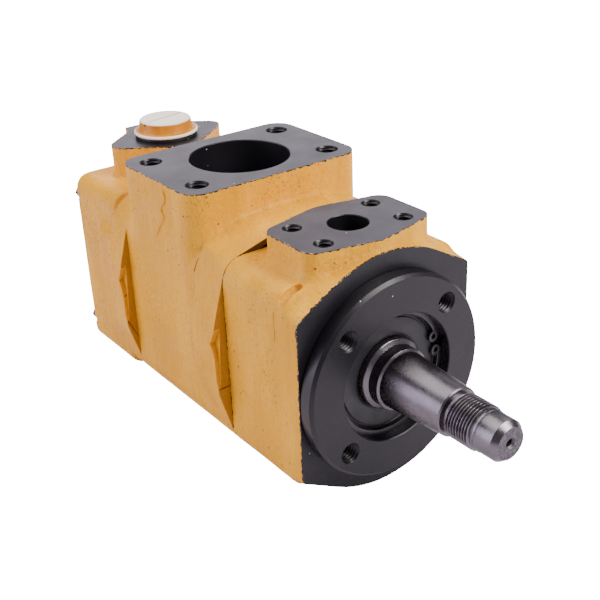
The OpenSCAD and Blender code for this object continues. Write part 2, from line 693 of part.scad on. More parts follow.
module front_side_plate() color([0.6, 0.5, 0.35]) port_plate(front_side_front, front_side_back);

module front_dowels() color([0.7, 0.7, 0.72])
    at_dowels() bar(dowel_r, front_plate_front + 2, front_side_back - 1);

module rear_pressure_plate() color([0.6, 0.5, 0.35]) pressure_plate(rear_cam_back, rear_plate_back);

module rear_cam_ring() color([0.55, 0.56, 0.6]) cam_ring(rear_side_back, rear_cam_back);

module rear_rotor() color([0.5, 0.5, 0.55]) rotor(rear_side_back, rear_cam_back);

module rear_vanes() color([0.75, 0.76, 0.8]) vanes(rear_side_back, rear_cam_back);

module rear_side_plate() color([0.6, 0.5, 0.35]) port_plate(rear_side_front, rear_side_back);

module rear_dowels() color([0.7, 0.7, 0.72])
    at_dowels() bar(dowel_r, rear_side_front + 1, rear_plate_back - 2);

module rear_bush() color([0.7, 0.5, 0.25]) slab(bush_front, bush_back - 0.2) difference() {
    circle(journal_d / 2 + bush_wall);
    circle(journal_d / 2 + run_gap);
}

module front_joint_seal() color([0.1, 0.1, 0.1])
    ring_seal(joint_seal_mid_r, ring_seal_r, front_joint - ring_seal_r - fit_gap / 2);

module rear_joint_seal() color([0.1, 0.1, 0.1])
    ring_seal(joint_seal_mid_r, ring_seal_r, rear_joint + ring_seal_r + fit_gap / 2);

module front_plate_seal() color([0.1, 0.1, 0.1])
    ring_seal(cart_r - plate_seal_r, plate_seal_r, (front_plate_front + front_cam_front) / 2);

module rear_plate_seal() color([0.1, 0.1, 0.1])
    ring_seal(cart_r - plate_seal_r, plate_seal_r, (rear_cam_back + rear_plate_back) / 2);

module body_bolts() color([0.2, 0.2, 0.22]) at_bolts() {
    bar(body_bolt_d / 2, front_joint - bolt_grip, rear_face + washer_t + 0.5);
    translate([0, rear_face + washer_t, 0]) rotate([-90, 0, 0])
        cylinder(d = bolt_head_af / cos(30), h = bolt_head_h, $fn = 6);
}

module bolt_washers() color([0.35, 0.35, 0.37]) at_bolts() slab(rear_face, rear_face + washer_t) difference() {
    circle(bolt_head_af * 0.58);
    circle(body_bolt_d / 2 + 0.3);
}

module outlet_plug() color([0.95, 0.75, 0.3]) translate([0, rear_port, rear_pad_z + plug_seal_t]) difference() {
    shank_r = port_thread_d / 2 - 0.4;
    shank_len = 14;
    slot_w = 2.6;
    slot_turn = 10;
    union() {
        cylinder(d = plug_flange_d, h = plug_flange_t);
        cylinder(d = plug_head_d, h = plug_flange_t + plug_head_h - 0.8);
        translate([0, 0, plug_flange_t + plug_head_h - 0.8])
            cylinder(d1 = plug_head_d, d2 = plug_head_d - 1.6, h = 0.8);
        translate([0, 0, -shank_len]) cylinder(r = shank_r, h = shank_len + 1);
    }
    rotate(slot_turn) translate([-plug_head_d, -slot_w / 2, plug_flange_t + plug_head_h - slot_w])
        cube([2 * plug_head_d, slot_w, 4]);
    translate([0, 0, -shank_len - 1]) cylinder(r = shank_r - 3, h = shank_len - 1);
}

module plug_seal() color([0.1, 0.1, 0.1]) translate([0, rear_port, rear_pad_z]) difference() {
    cylinder(r = plug_flange_d / 2 - 0.8, h = plug_seal_t);
    translate([0, 0, -1]) cylinder(r = port_thread_d / 2, h = plug_seal_t + 2);
}

front_body();
inlet_housing();
rear_cover();
drive_shaft();
shaft_key();
shaft_seal();
seal_spring();
seal_snap_ring();
bearing_outer_race();
bearing_inner_race();
bearing_cage();
bearing_balls();
shaft_snap_ring();
front_pressure_plate();
front_cam_ring();
front_rotor();
front_vanes();
front_side_plate();
front_dowels();
rear_pressure_plate();
rear_cam_ring();
rear_rotor();
rear_vanes();
rear_side_plate();
rear_dowels();
rear_bush();
front_joint_seal();
rear_joint_seal();
front_plate_seal();
rear_plate_seal();
body_bolts();
bolt_washers();
outlet_plug();
plug_seal();
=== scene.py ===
import json
import math

import bmesh
import bpy
from mathutils import Matrix, Vector, kdtree, noise


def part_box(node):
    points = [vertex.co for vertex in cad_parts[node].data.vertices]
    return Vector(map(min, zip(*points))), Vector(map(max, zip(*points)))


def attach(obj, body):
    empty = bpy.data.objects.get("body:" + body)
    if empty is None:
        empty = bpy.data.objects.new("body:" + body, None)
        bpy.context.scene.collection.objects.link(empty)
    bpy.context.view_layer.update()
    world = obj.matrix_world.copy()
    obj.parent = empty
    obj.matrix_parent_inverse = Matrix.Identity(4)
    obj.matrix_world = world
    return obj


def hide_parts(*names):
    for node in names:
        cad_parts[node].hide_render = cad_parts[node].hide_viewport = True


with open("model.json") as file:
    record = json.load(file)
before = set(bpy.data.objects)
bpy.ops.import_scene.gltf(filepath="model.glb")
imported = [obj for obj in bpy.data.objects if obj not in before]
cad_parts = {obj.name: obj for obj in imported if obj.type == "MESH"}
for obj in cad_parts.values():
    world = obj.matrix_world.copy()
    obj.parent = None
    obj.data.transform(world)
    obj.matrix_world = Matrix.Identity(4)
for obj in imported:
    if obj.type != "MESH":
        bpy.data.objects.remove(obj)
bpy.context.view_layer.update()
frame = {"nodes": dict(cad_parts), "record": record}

# Front casting: one iron piece with the mounting flange, its pilot, the body and the front outlet
# pad. It is cast in sand and sprayed golden, and then the flange, pilot, pad, bores and threads
# are cut and blacked. Sizes are millimetres in the pump's frame, with the shaft along Y.
mm = 0.001
to_mm = 1000
mounts = {m["name"]: m for m in frame["record"]["mounts"]}
both = (-1, 1)
corners = [(a, b) for a in both for b in both]


# The low and the high corner of a frame node's box, and the place and sizes of a mount.
def low(node):
    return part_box(node)[0] * to_mm


def high(node):
    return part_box(node)[1] * to_mm


def port_face(mount):
    return Vector(mounts[mount]["pos_m"]) * to_mm


def mount_size(mount, key):
    return mounts[mount]["dims"][key]


# Turns a mesh under construction into a piece with its faces pointing outwards.
def piece_from(name, block):
    bmesh.ops.recalc_face_normals(block, faces=block.faces)
    mesh = bpy.data.meshes.new(name)
    block.to_mesh(mesh)
    block.free()
    piece = bpy.data.objects.new(name, mesh)
    bpy.context.scene.collection.objects.link(piece)
    return piece


# Draws the tightest skin over the points of a block and drops what ends up inside it.
def shrink_wrap(block):
    bmesh.ops.convex_hull(block, input=block.verts)
    inner = [v for v in block.verts if not v.link_faces]
    bmesh.ops.delete(block, geom=inner, context="VERTS")
    wires = [e for e in block.edges if not e.link_faces]
    bmesh.ops.delete(block, geom=wires, context="EDGES")


# A pattern block wrapped round discs of (x, y, z, radius) that face along an axis, then planed
# flat on both sides at the given distances from the shaft.
def wrapped(name, discs, axis="Y", planed=()):
    block = bmesh.new()
    facing = Matrix.Rotation(math.radians(-90), 4, "X") if axis == "Y" else Matrix()
    for x, y, z, radius in discs:
        place = Matrix.Translation(Vector((x, y, z)) * mm)
        if radius:
            steps = 144 if radius > 20 else 48
            bmesh.ops.create_circle(block, segments=steps, radius=radius * mm, matrix=place @ facing)
        else:
            bmesh.ops.create_vert(block, co=place.translation)
    shrink_wrap(block)
    for direction, reach in planed:
        for side in both:
            outward = Vector([side * (letter == direction) for letter in "XYZ"])
            bmesh.ops.bisect_plane(block, geom=block.verts[:] + block.edges[:] + block.faces[:],
                                   plane_co=outward * reach * mm, plane_no=outward, clear_outer=True)
            bmesh.ops.holes_fill(block, edges=[e for e in block.edges if e.is_boundary])
    return piece_from(name, block)


# Discs at the four corners of a section across the shaft, or of a pad seen from above.
def section(half_x, half_z, y, radius):
    return [(a * half_x, y, b * half_z, radius) for a, b in corners]


def pad_plan(half_x, half_y, y, z, radius):
    return [(a * half_x, y + b * half_y, z, radius) for a, b in corners]


# A square block between two opposite corners.
def brick(name, near, far):
    block = bmesh.new()
    middle = Matrix.Translation((Vector(near) + Vector(far)) / 2 * mm)
    extent = Matrix.Diagonal((*(Vector(far) - Vector(near)) * mm, 1))
    bmesh.ops.create_cube(block, size=1, matrix=middle @ extent)
    return piece_from(name, block)


# A turned solid from (radius, height) pairs, closed at the axis or, for a ring, on itself.
def lathe(profile, steps=96, ring=False):
    block = bmesh.new()
    line = profile + profile[:1] if ring else [(0, profile[0][1])] + profile + [(0, profile[-1][1])]
    points = [block.verts.new((radius * mm, 0, h * mm)) for radius, h in line]
    sides = [block.edges.new(pair) for pair in zip(points, points[1:])]
    bmesh.ops.spin(block, geom=points + sides, cent=(0, 0, 0), axis=(0, 0, 1), angle=math.tau,
                   steps=steps, use_merge=True)
    bmesh.ops.remove_doubles(block, verts=block.verts, dist=1e-7)
    return block


# Stands a turned solid, or a screw, on its place with its axis along Y or Z.
def stood(name, block, centre=(0, 0, 0), axis="Y"):
    facing = Matrix.Rotation(math.radians(-90), 4, "X") if axis == "Y" else Matrix()
    block.transform(Matrix.Translation(Vector(centre) * mm) @ facing)
    return piece_from(name, block)


# A threaded rod whose radius follows one helical groove: a screw, or the cutter of a tapped hole.
# The crest is a narrow flat, and the flanks fall from it to the root.
def threaded(root, crest, pitch, start, end, steps=48, per_turn=8):
    flat, flank = 1.25, 2.9
    rows = round((end - start) / pitch * per_turn)
    rod = lathe([(crest, start + (end - start) * k / rows) for k in range(rows + 1)], steps)
    for v in rod.verts:
        phase = (v.co.z / mm / pitch + math.atan2(v.co.y, v.co.x) / math.tau) % 1
        rise = min(1.0, max(0.0, flat - abs(phase - 0.5) * flank))
        depth = (root + (crest - root) * rise) / crest
        v.co.x *= depth
        v.co.y *= depth
    return rod


# Turns a piece's modifiers into its mesh.
def bake(piece):
    graph = bpy.context.evaluated_depsgraph_get()
    mesh = bpy.data.meshes.new_from_object(piece.evaluated_get(graph))
    piece.modifiers.clear()
    piece.data = mesh


# Joins solids to a piece, or cuts them out of it, one after another.
def combine(piece, tools, operation):
    for tool in tools:
        change = piece.modifiers.new(operation, "BOOLEAN")
        change.solver = "MANIFOLD"
        change.operation = operation
        change.object = tool
        bake(piece)
        bpy.data.objects.remove(tool)


# Sand casting: the pattern blocks become one body, corners turn soft and the skin gets a wave.
def cast(blocks):
    grid, rounds, wave = 1.1, 6, 0.17
    broad_wave, fine_wave = 60, 190
    casting = blocks[0]
    combine(casting, blocks[1:], "UNION")
    skin = casting.modifiers.new("skin", "REMESH")
    skin.mode = "VOXEL"
    skin.voxel_size = grid * mm
    soft = casting.modifiers.new("soft", "SMOOTH")
    soft.factor = 0.5
    soft.iterations = rounds
    bake(casting)
    block = bmesh.new()
    block.from_mesh(casting.data)
    for v in block.verts:
        swell = noise.noise(v.co * broad_wave) + 0.45 * noise.noise(v.co * fine_wave)
        v.co += v.normal * swell * wave * mm
    block.to_mesh(casting.data)
    block.free()
    return casting


# Sharp edges stay crisp, broad painted planes stay flat, and the rest is shaded smooth. The kind
# function says which of the finishes a face has. The edge value is 1 where paint meets a machined
# face and falls to 0 over a short way beside it.
def finish_mesh(piece, materials, kind, inset=0.9, sharp=32):
    broad_area, edge_reach = 60 * mm * mm, 1.3 * mm
    piece.data.materials.clear()
    for material in materials:
        piece.data.materials.append(material)
    block = bmesh.new()
    block.from_mesh(piece.data)
    bmesh.ops.remove_doubles(block, verts=block.verts, dist=1e-6)
    for face in block.faces:
        face.material_index = kind(face.calc_center_median() / mm, face.normal)
    flats = [f for f in block.faces if f.material_index]
    bmesh.ops.inset_region(block, faces=flats, thickness=inset * mm, use_even_offset=False)
    broad = {f for f in block.faces if not f.material_index and f.calc_area() > broad_area}
    for face in block.faces:
        face.smooth = face not in broad
    rim = set()
    for edge in block.edges:
        if len(edge.link_faces) == 2:
            edge.smooth = edge.calc_face_angle(0) < math.radians(sharp)
            if {face.material_index for face in edge.link_faces} == {0, 1}:
                rim.update(edge.verts)
    near = kdtree.KDTree(len(rim))
    for v in rim:
        near.insert(v.co, v.index)
    near.balance()
    layer = block.verts.layers.float.new("edge")
    for v in block.verts:
        v[layer] = max(0.0, 1.0 - near.find(v.co)[2] / edge_reach)
    for v in {v for face in broad for v in face.verts}:
        v[layer] = 0.0
    block.to_mesh(piece.data)
    block.free()


front_high = high("front_body")
joint_y = front_high.y
half_flange = front_high.x
outlet = port_face("front_outlet_port")
pilot_y = low("front_body").y
bolt_x, bolt_z, bolt_corner = 44.15, 44.5, 13
flange_disc, flange_flat = 68.2, 46.2
draft_end, draft_disc = 10.4, 68.4
pad_x, pad_y, pad_corner, pad_end = 31.8, 13.1, 8.5, 28.3
foot_low, foot_high = 54, 64
straight = [("X", half_flange)]

# Pattern blocks reach a little past the joints, and past the pads, that are cut flat afterwards.
spare, pad_spare = 3, 4
pad_top = outlet.z + pad_spare
shoulders = section(41, 57.4, draft_end, 1.8) + section(57.2, 46.6, draft_end, 1.2)
front_blocks = [
    wrapped("front_casting", section(bolt_x, bolt_z, 10, bolt_corner)
            + section(bolt_x, bolt_z, joint_y + spare, bolt_corner)),
    wrapped("flange", [(0, -2, 0, flange_disc), (0, 4, 0, flange_disc)]
            + section(half_flange, flange_flat, -2, 0)
            + section(half_flange, flange_flat, 4, 0), planed=straight),
    wrapped("flange_draft", [(0, 0, 0, flange_disc), (0, draft_end, 0, draft_disc)]
            + section(half_flange, flange_flat, 0, 0) + shoulders, planed=straight),
    wrapped("flange_back", [(0, draft_end, 0, draft_disc), (0, draft_end + 1, 0, 66)] + shoulders
            + section(bolt_x, bolt_z, 12.8, bolt_corner), planed=straight),
    wrapped("pad", [(0, outlet.y, 0, pad_end), (0, outlet.y, pad_top, pad_end)]
            + pad_plan(pad_x, pad_y, outlet.y, 0, pad_corner)
            + pad_plan(pad_x, pad_y, outlet.y, pad_top, pad_corner), "Z"),
    wrapped("pad_foot", [(0, outlet.y, foot_low, 32), (0, outlet.y, foot_high, pad_end)]
            + pad_plan(pad_x, pad_y, outlet.y, foot_low, 12.2)
            + pad_plan(pad_x, pad_y, outlet.y, foot_high, pad_corner), "Z", planed=straight)]
front_casting = cast(front_blocks)

# The machined faces: flange, joint and pad are cut flat, and the pilot is turned on the flange.
wide = 90
combine(front_casting, [
    brick("face_front", (-wide, -30, -wide), (wide, 0, wide)),
    brick("face_back", (-wide, joint_y, -wide), (wide, joint_y + 20, wide)),
    brick("face_pad", (-wide, -40, outlet.z), (wide, 90, outlet.z + 20))], "DIFFERENCE")
pilot_r = mount_size("pilot", "r_mm")
pilot = lathe([(pilot_r - 2, pilot_y), (pilot_r - 1.6, pilot_y), (pilot_r, pilot_y + 1.8), (pilot_r, -1.1),
               (pilot_r - 0.5, -0.5), (pilot_r - 0.5, 0.6)], 192)
combine(front_casting, [stood("pilot", pilot)], "UNION")

# Everything bored into it: the mouth for seal and bearing, the outlet chamber behind them with the
# pocket of the front cartridge, the outlet port with its passage, and the long bolts' holes.
mouth_r = 36.05
cartridge_r = high("front_pressure_plate").x + 0.05
bearing_back = high("bearing_outer_race").y
plate_front = low("front_pressure_plate").y
snap_front = low("seal_snap_ring").y
port_r = mount_size("front_outlet_port", "r_mm")
port_floor = outlet.z - mount_size("front_outlet_port", "length_mm")
passage_r, passage_y = 6.7, 38.8
groove_near, groove_far = snap_front - 0.1, snap_front + 2.1
shaft_gap, chamber_r = 21.1, 43
chamber_front = bearing_back + 7
bolt_root, bolt_depth = 6.05, 23
front_cuts = [
    stood("bore", lathe([(mouth_r + 0.4, pilot_y - 1), (mouth_r + 0.4, pilot_y), (mouth_r, pilot_y + 0.4),
                         (mouth_r, groove_near), (mouth_r + 1.7, groove_near), (mouth_r + 1.7, groove_far),
                         (mouth_r, groove_far), (mouth_r, bearing_back), (shaft_gap, bearing_back),
                         (shaft_gap, chamber_front), (chamber_r, chamber_front), (chamber_r, plate_front),
                         (cartridge_r, plate_front), (cartridge_r, joint_y + 1)], 128)),
    stood("port", lathe([(port_r, port_floor), (port_r, outlet.z - 0.4), (port_r + 0.6, outlet.z + 0.2)]),
          (0, outlet.y, 0), "Z"),
    stood("passage", lathe([(passage_r, 0), (passage_r, port_floor + 1)]), (0, passage_y, 0), "Z")]
for a, b in corners:
    hole = lathe([(bolt_root, joint_y - bolt_depth), (bolt_root, joint_y + 1)])
    front_cuts.append(stood("bolt_hole", hole, (a * bolt_x, 0, b * bolt_z)))


# A tapped hole with its countersunk mouth, from the face of a pad or of the pilot inwards.
def tapped(centre, radius, depth, pitch, axis="Z"):
    inward = -1 if axis == "Z" else 1
    ends = sorted((inward * depth, -inward * 0.2))
    mouth = sorted([(radius + 0.2, inward * 1.4), (radius + 1.5, -inward * 0.3)], key=lambda p: p[1])
    return [stood("thread", threaded(radius, radius + 0.9, pitch, *ends), centre, axis),
            stood("mouth", lathe(mouth, 48), centre, axis)]


tap_r = mount_size("front_outlet_bolts", "hole_r_mm")
tap_x, tap_y = 26.2, 13.1
for a, b in corners:
    front_cuts += tapped((a * tap_x, outlet.y + b * tap_y, outlet.z), tap_r, 19, 1.7)
mount_r = mount_size("mounting_bolts", "hole_r_mm")
mount_reach = mount_size("mounting_bolts", "pcd_mm") / 2 * math.sqrt(0.5)
for a, b in corners:
    front_cuts += tapped((a * mount_reach, pilot_y, b * mount_reach), mount_r, 22, 1.9, "Y")

# A fine upright crack in the left wall, and a rounded groove beside the flange at each corner.
front_cuts.append(brick("crack", (-57.9, 18.5, 30), (-56.5, 18.95, 46)))
groove_r, groove_half, groove_tilt = 3.1, 5.8, 19
groove_x, groove_y, groove_z = 50.4, 14.6, 54.9
lying = Matrix.Rotation(math.radians(90), 4, "Y")
arc = [math.pi * k / 13 for k in range(1, 13)]
for a, b in corners:
    groove = lathe([(groove_r * math.sin(turn), (groove_half if turn > math.pi / 2 else -groove_half)
                     - groove_r * math.cos(turn)) for turn in arc], 32)
    slant = Matrix.Rotation(math.radians(a * b * groove_tilt), 4, "Y") @ lying
    groove.transform(Matrix.Translation(Vector((a * groove_x, groove_y, b * groove_z)) * mm) @ slant)
    front_cuts.append(piece_from("groove", groove))
combine(front_casting, front_cuts, "DIFFERENCE")


# The finish of each face of a casting: 0 is paint, 1 is machined and blacked, 2 is a bare joint. A
# face within touch of a machined plane lies on it, one nearer to the shaft than core_r is inside
# the bores, and one within hole_reach of a hole's axis is in the hole.
touch, level_face, core_r, hole_reach = 0.05, 0.9, 47, 6.5


def front_kind(centre, normal):
    if centre.y < touch or math.hypot(centre.x, centre.z) < core_r:
        return 1
    if centre.z > outlet.z - touch and normal.z > level_face:
        return 1
    if centre.y > joint_y - touch and normal.y > level_face:
        return 2
    in_port = math.hypot(centre.x, centre.y - outlet.y) < port_r + 0.9 and centre.z < outlet.z
    at_hole = min(math.hypot(abs(centre.x) - tap_x, abs(centre.y - outlet.y) - tap_y),
                  math.hypot(abs(centre.x) - bolt_x, abs(centre.z) - bolt_z)) < hole_reach
    return 1 if in_port or at_hole else 0


# Shading helpers: a principled material and the few nodes that its patterns are wired from.
def new_material(name):
    material = bpy.data.materials.new(name)
    material.use_nodes = True
    return material, material.node_tree, material.node_tree.nodes["Principled BSDF"]


# A node with its settings. An input is given a value, or is wired from another node's output.
def node(tree, kind, inputs=None, **settings):
    made = tree.nodes.new(kind)
    for key, value in settings.items():
        setattr(made, key, value)
    for key, value in (inputs or {}).items():
        if isinstance(value, bpy.types.NodeSocket):
            tree.links.new(value, made.inputs[key])
        else:
            made.inputs[key].default_value = value
    return made


def ramp(tree, value, stops):
    made = node(tree, "ShaderNodeValToRGB", {"Fac": value})
    marks = made.color_ramp.elements
    while len(marks) < len(stops):
        marks.new(0.5)
    for mark, (at, colour) in zip(marks, stops):
        mark.position = at
        mark.color = (*colour, 1)
    return made.outputs["Color"]


# Even noise over the piece. Stretch draws it out along an axis.
def grain(tree, scale, detail=4.0, rough=0.55, stretch=(1, 1, 1)):
    place = node(tree, "ShaderNodeTexCoord").outputs["Object"]
    if stretch != (1, 1, 1):
        place = node(tree, "ShaderNodeMapping", {"Vector": place, "Scale": stretch}).outputs["Vector"]
    return node(tree, "ShaderNodeTexNoise", {
        "Vector": place, "Scale": scale, "Detail": detail, "Roughness": rough}).outputs["Fac"]


# Scattered round specks: one in a share of the cells, size cells across.
def specks(tree, scale, size, share):
    place = node(tree, "ShaderNodeTexCoord").outputs["Object"]
    cells = node(tree, "ShaderNodeTexVoronoi", {"Vector": place, "Scale": scale})
    dots = band(tree, cells.outputs["Distance"], size, size * 0.6)
    chosen = node(tree, "ShaderNodeSeparateColor", {"Color": cells.outputs["Color"]}).outputs["Red"]
    return maths(tree, "MULTIPLY", dots, band(tree, chosen, share, share * 0.98))


# Inputs 0, 6 and 7 of a colour mix are its factor and its two colours, and output 2 is the result.
def mix(tree, fac, first, second):
    made = node(tree, "ShaderNodeMix", data_type="RGBA")
    for place, value in ((0, fac), (6, first), (7, second)):
        if isinstance(value, bpy.types.NodeSocket):
            tree.links.new(value, made.inputs[place])
        else:
            made.inputs[place].default_value = (*value, 1) if place else value
    return made.outputs[2]


# Runs from 0 at start to 1 at end.
def band(tree, value, start, end):
    return node(tree, "ShaderNodeMapRange", {
        "Value": value, "From Min": start, "From Max": end, "To Min": 0.0, "To Max": 1.0}).outputs["Result"]


def maths(tree, operation, first, second):
    return node(tree, "ShaderNodeMath", {0: first, 1: second}, operation=operation).outputs[0]


# Fine relief from layers of (height, distance, strength), each laid over the one before.
def bumps(tree, shader, layers):
    last = None
    for height, distance, strength in layers:
        inputs = {"Height": height, "Distance": distance, "Strength": strength}
        if last is not None:
            inputs["Normal"] = last
        last = node(tree, "ShaderNodeBump", inputs).outputs["Normal"]
    tree.links.new(last, shader.inputs["Normal"])


# How far paint is worn at a place: most at the machined edges, broken up by noise.
def wear(tree, edge, scale):
    patchy = maths(tree, "MULTIPLY", maths(tree, "SUBTRACT", grain(tree, scale, 2), 0.5), 1.9)
    return maths(tree, "ADD", edge, patchy)


# Golden enamel sprayed over rough sand-cast iron, with pits, runs, chips at machined edges and painted shade
# in creases.
def casting_paint():
    material, tree, shader = new_material("casting_paint")
    edge = node(tree, "ShaderNodeAttribute", attribute_name="edge").outputs["Fac"]
    crease = node(tree, "ShaderNodeNewGeometry").outputs["Pointiness"]
    golden = [(0.35, (0.74, 0.342, 0.002)), (0.65, (0.86, 0.405, 0.003))]
    soot = (0.012, 0.011, 0.012)
    body = ramp(tree, grain(tree, 22, 3), golden)
    # Painted shade: where the mesh's pointiness is low, in creases and hollows, the paint darkens towards a
    # deep ochre.
    painted_crease_shade = maths(tree, "MULTIPLY", band(tree, crease, 0.495, 0.455), 0.3)
    body = mix(tree, painted_crease_shade, body, (0.42, 0.18, 0.003))
    runs = grain(tree, 240, 3, 0.5, (1, 1, 0.14))
    streak = band(tree, grain(tree, 75, 4, 0.6, (1, 1, 0.16)), 0.48, 0.68)
    body = mix(tree, maths(tree, "MULTIPLY", streak, 0.45), body, (0.98, 0.50, 0.03))
    pit = maths(tree, "MULTIPLY", band(tree, grain(tree, 760, 2, 0.5), 0.37, 0.30),
                band(tree, grain(tree, 26, 2), 0.44, 0.60))
    body = mix(tree, maths(tree, "MULTIPLY", pit, 0.75), body, (0.20, 0.08, 0.01))
    body = mix(tree, specks(tree, 190, 0.13, 0.11), body, (0.07, 0.025, 0.01))
    body = mix(tree, band(tree, wear(tree, edge, 420), 0.60, 0.66), body, soot)
    body = mix(tree, band(tree, wear(tree, edge, 700), 1.14, 1.18), body, (0.75, 0.66, 0.5))
    tree.links.new(body, shader.inputs["Base Color"])
    rough = maths(tree, "ADD", band(tree, grain(tree, 70, 3), 0.2, 1.5), 0.18)
    tree.links.new(rough, shader.inputs["Roughness"])
    bumps(tree, shader, [
        (grain(tree, 110, 3), 0.002, 0.3), (runs, 0.0012, 0.5), (grain(tree, 330, 3, 0.5), 0.0012, 0.55),
        (grain(tree, 900, 3, 0.6), 0.0005, 0.6), (pit, -0.0004, 0.7)])
    shader.inputs["Specular IOR Level"].default_value = 0.22
    return material


# Machined faces under thin semi-gloss black, with dust and paint chips along their edges.
def machined_black():
    material, tree, shader = new_material("machined_black")
    edge = node(tree, "ShaderNodeAttribute", attribute_name="edge").outputs["Fac"]
    tone = ramp(tree, grain(tree, 18, 3), [(0.3, (0.006, 0.0052, 0.007)), (0.7, (0.010, 0.0088, 0.0115))])
    tone = mix(tree, specks(tree, 210, 0.10, 0.07), tone, (0.6, 0.55, 0.46))
    chipped = maths(tree, "MULTIPLY", band(tree, wear(tree, edge, 560), 1.00, 1.04),
                    band(tree, grain(tree, 60, 1), 0.48, 0.53))
    tone = mix(tree, chipped, tone, (0.62, 0.45, 0.2))
    tree.links.new(tone, shader.inputs["Base Color"])
    rough = band(tree, grain(tree, 55, 4), -0.9, 1.6)
    tree.links.new(maths(tree, "MULTIPLY", rough, 0.62), shader.inputs["Roughness"])
    bumps(tree, shader, [(grain(tree, 1500, 2), 0.0002, 0.12), (grain(tree, 160, 3), 0.0006, 0.06)])
    shader.inputs["Specular IOR Level"].default_value = 0.38
    return material


# Milled joint faces: bare iron whose dark brown tone is painted shade, with the spray reaching in at both
# sides.
def shaded_joint_iron():
    material, tree, shader = new_material("shaded_joint_iron")
    # Painted shade: the bare iron is darkened to a deep brown, where these faces lie in shadow.
    tone = ramp(tree, grain(tree, 60, 4), [(0.3, (0.040, 0.018, 0.003)), (0.7, (0.085, 0.040, 0.004))])
    place = node(tree, "ShaderNodeTexCoord").outputs["Object"]
    across = node(tree, "ShaderNodeSeparateXYZ", {"Vector": place}).outputs["X"]
    spray_from, spray_to = 0.0545, 0.0565
    outer = maths(tree, "ABSOLUTE", across, 0.0)
    shaded_spray_band = band(tree, outer, spray_from, spray_to)
    # Painted shade: where the spray reaches in, the golden paint is given a darker, shaded tone.
    tone = mix(tree, shaded_spray_band, tone, (0.48, 0.225, 0.004))
    tree.links.new(tone, shader.inputs["Base Color"])
    tree.links.new(band(tree, grain(tree, 200, 3), -0.6, 1.3), shader.inputs["Roughness"])
    bumps(tree, shader, [(grain(tree, 900, 2), 0.0003, 0.2)])
    return material


finishes = [casting_paint(), machined_black(), shaded_joint_iron()]


# Puts a finished piece in the place of a frame node, which it hides, on its body.
def hand_over(piece, name, body):
    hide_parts(name)
    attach(piece, body)


finish_mesh(front_casting, finishes, front_kind)
hand_over(front_casting, "front_body", "housing")

# Suction casting: joint flange with feet and pry notches, the body and the tower that carries the
# large inlet pad. The flange's top rises to a saddle in front of the tower. Same iron and paint.
ring_front = low("inlet_housing").y
ring_thickness = 23.8
ring_back = ring_front + ring_thickness
rear_joint = high("inlet_housing").y
half_ring = high("inlet_housing").x
foot_z = low("inlet_housing").z
inlet = port_face("inlet_port")
ring_r = 67.7
half_body = 58
half_foot, foot_top = 28, -45
tower_x, tower_y = 46, 28.4


# The joint flange of a casting: a disc with four bolt corners, flats at both sides and flat feet.
def joint_flange(name, y0, y1):
    return [wrapped(name, [(0, y0, 0, ring_r), (0, y1, 0, ring_r)] + section(bolt_x, bolt_z, y0, bolt_corner)
                    + section(bolt_x, bolt_z, y1, bolt_corner), planed=[("X", half_ring)]),
            brick("foot", (-half_foot, y0, foot_z), (half_foot, y1, foot_top))]


# A slab right across the pump, to cut a joint face flat with.
def faced(name, y0, y1):
    return brick(name, (-wide, y0, -wide), (wide, y1, wide))


# A pry notch in the flat of a joint flange, seen from the side as (along, up) points. Its floor
# lies a little deeper towards the top.
def pry_notch(side, y):
    block = bmesh.new()
    depth, slope = 2.5, 0.055
    shape = [(-4, 19.5), (0, 19.5), (4.9, 9.5), (2.9, 6), (1.5, 0), (1.2, -13), (0, -17), (-4, -17)]
    rim = [block.verts.new(Vector((side * (half_ring - depth - slope * z), y + along, z)) * mm)
           for along, z in shape]
    grown = bmesh.ops.extrude_face_region(block, geom=[block.faces.new(rim)])["geom"]
    outer = [g for g in grown if isinstance(g, bmesh.types.BMVert)]
    bmesh.ops.translate(block, vec=(side * 7 * mm, 0, 0), verts=outer)
    return piece_from("pry_notch", block)


def tower_plan(z, radius):
    return pad_plan(tower_x, tower_y, inlet.y, z, radius)


saddle_line = ((30, 65.0), (52, 57.6))
suction_blocks = joint_flange("suction_casting", ring_front - spare, ring_back) + [
    wrapped("saddle", [(0, ring_front, 0, ring_r), (0, ring_back, 0, ring_r)]
            + section(bolt_x, bolt_z, ring_front, bolt_corner)
            + [(a * x, ring_back, z, 1.4) for a in both for x, z in saddle_line]
            + section(bolt_x, bolt_z, ring_back, bolt_corner), planed=[("X", half_ring)]),
    wrapped("body", [(0, ring_back - 2, 0, ring_r), (0, rear_joint + spare, 0, ring_r)]
            + section(bolt_x, bolt_z, ring_back - 2, bolt_corner)
            + section(bolt_x, bolt_z, rear_joint + spare, bolt_corner), planed=[("X", half_body)]),
    wrapped("tower", tower_plan(0, 12.2) + tower_plan(inlet.z + pad_spare, 12), "Z",
            planed=[("X", half_body)])]
suction_casting = cast(suction_blocks)

# A raised vein that wanders down the left wall of the tower, where the sand mould had cracked.
vein_line = [(120.5, 83.5), (118.2, 80.0), (117.6, 77.4), (119.8, 74.8), (122.6, 72.0), (123.6, 68.7),
             (121.4, 66.8), (121.0, 65.0), (123.6, 62.4), (126.6, 59.2), (128.4, 56.6), (130.4, 53.6),
             (133.0, 50.4)]
curve = bpy.data.curves.new("vein", "CURVE")
curve.dimensions = "3D"
curve.bevel_depth = 0.95 * mm
curve.bevel_resolution = 3
curve.use_fill_caps = True
line = curve.splines.new("POLY")
line.points.add(len(vein_line) - 1)
for k, (y, z) in enumerate(vein_line):
    line.points[k].co = (-(half_body - 0.25) * mm, y * mm, z * mm, 1)
    line.points[k].radius = (0.35, 1)[0 < k < len(vein_line) - 1] * (1 + 0.25 * math.sin(2.6 * k))
vein = bpy.data.objects.new("vein", curve)
bpy.context.scene.collection.objects.link(vein)
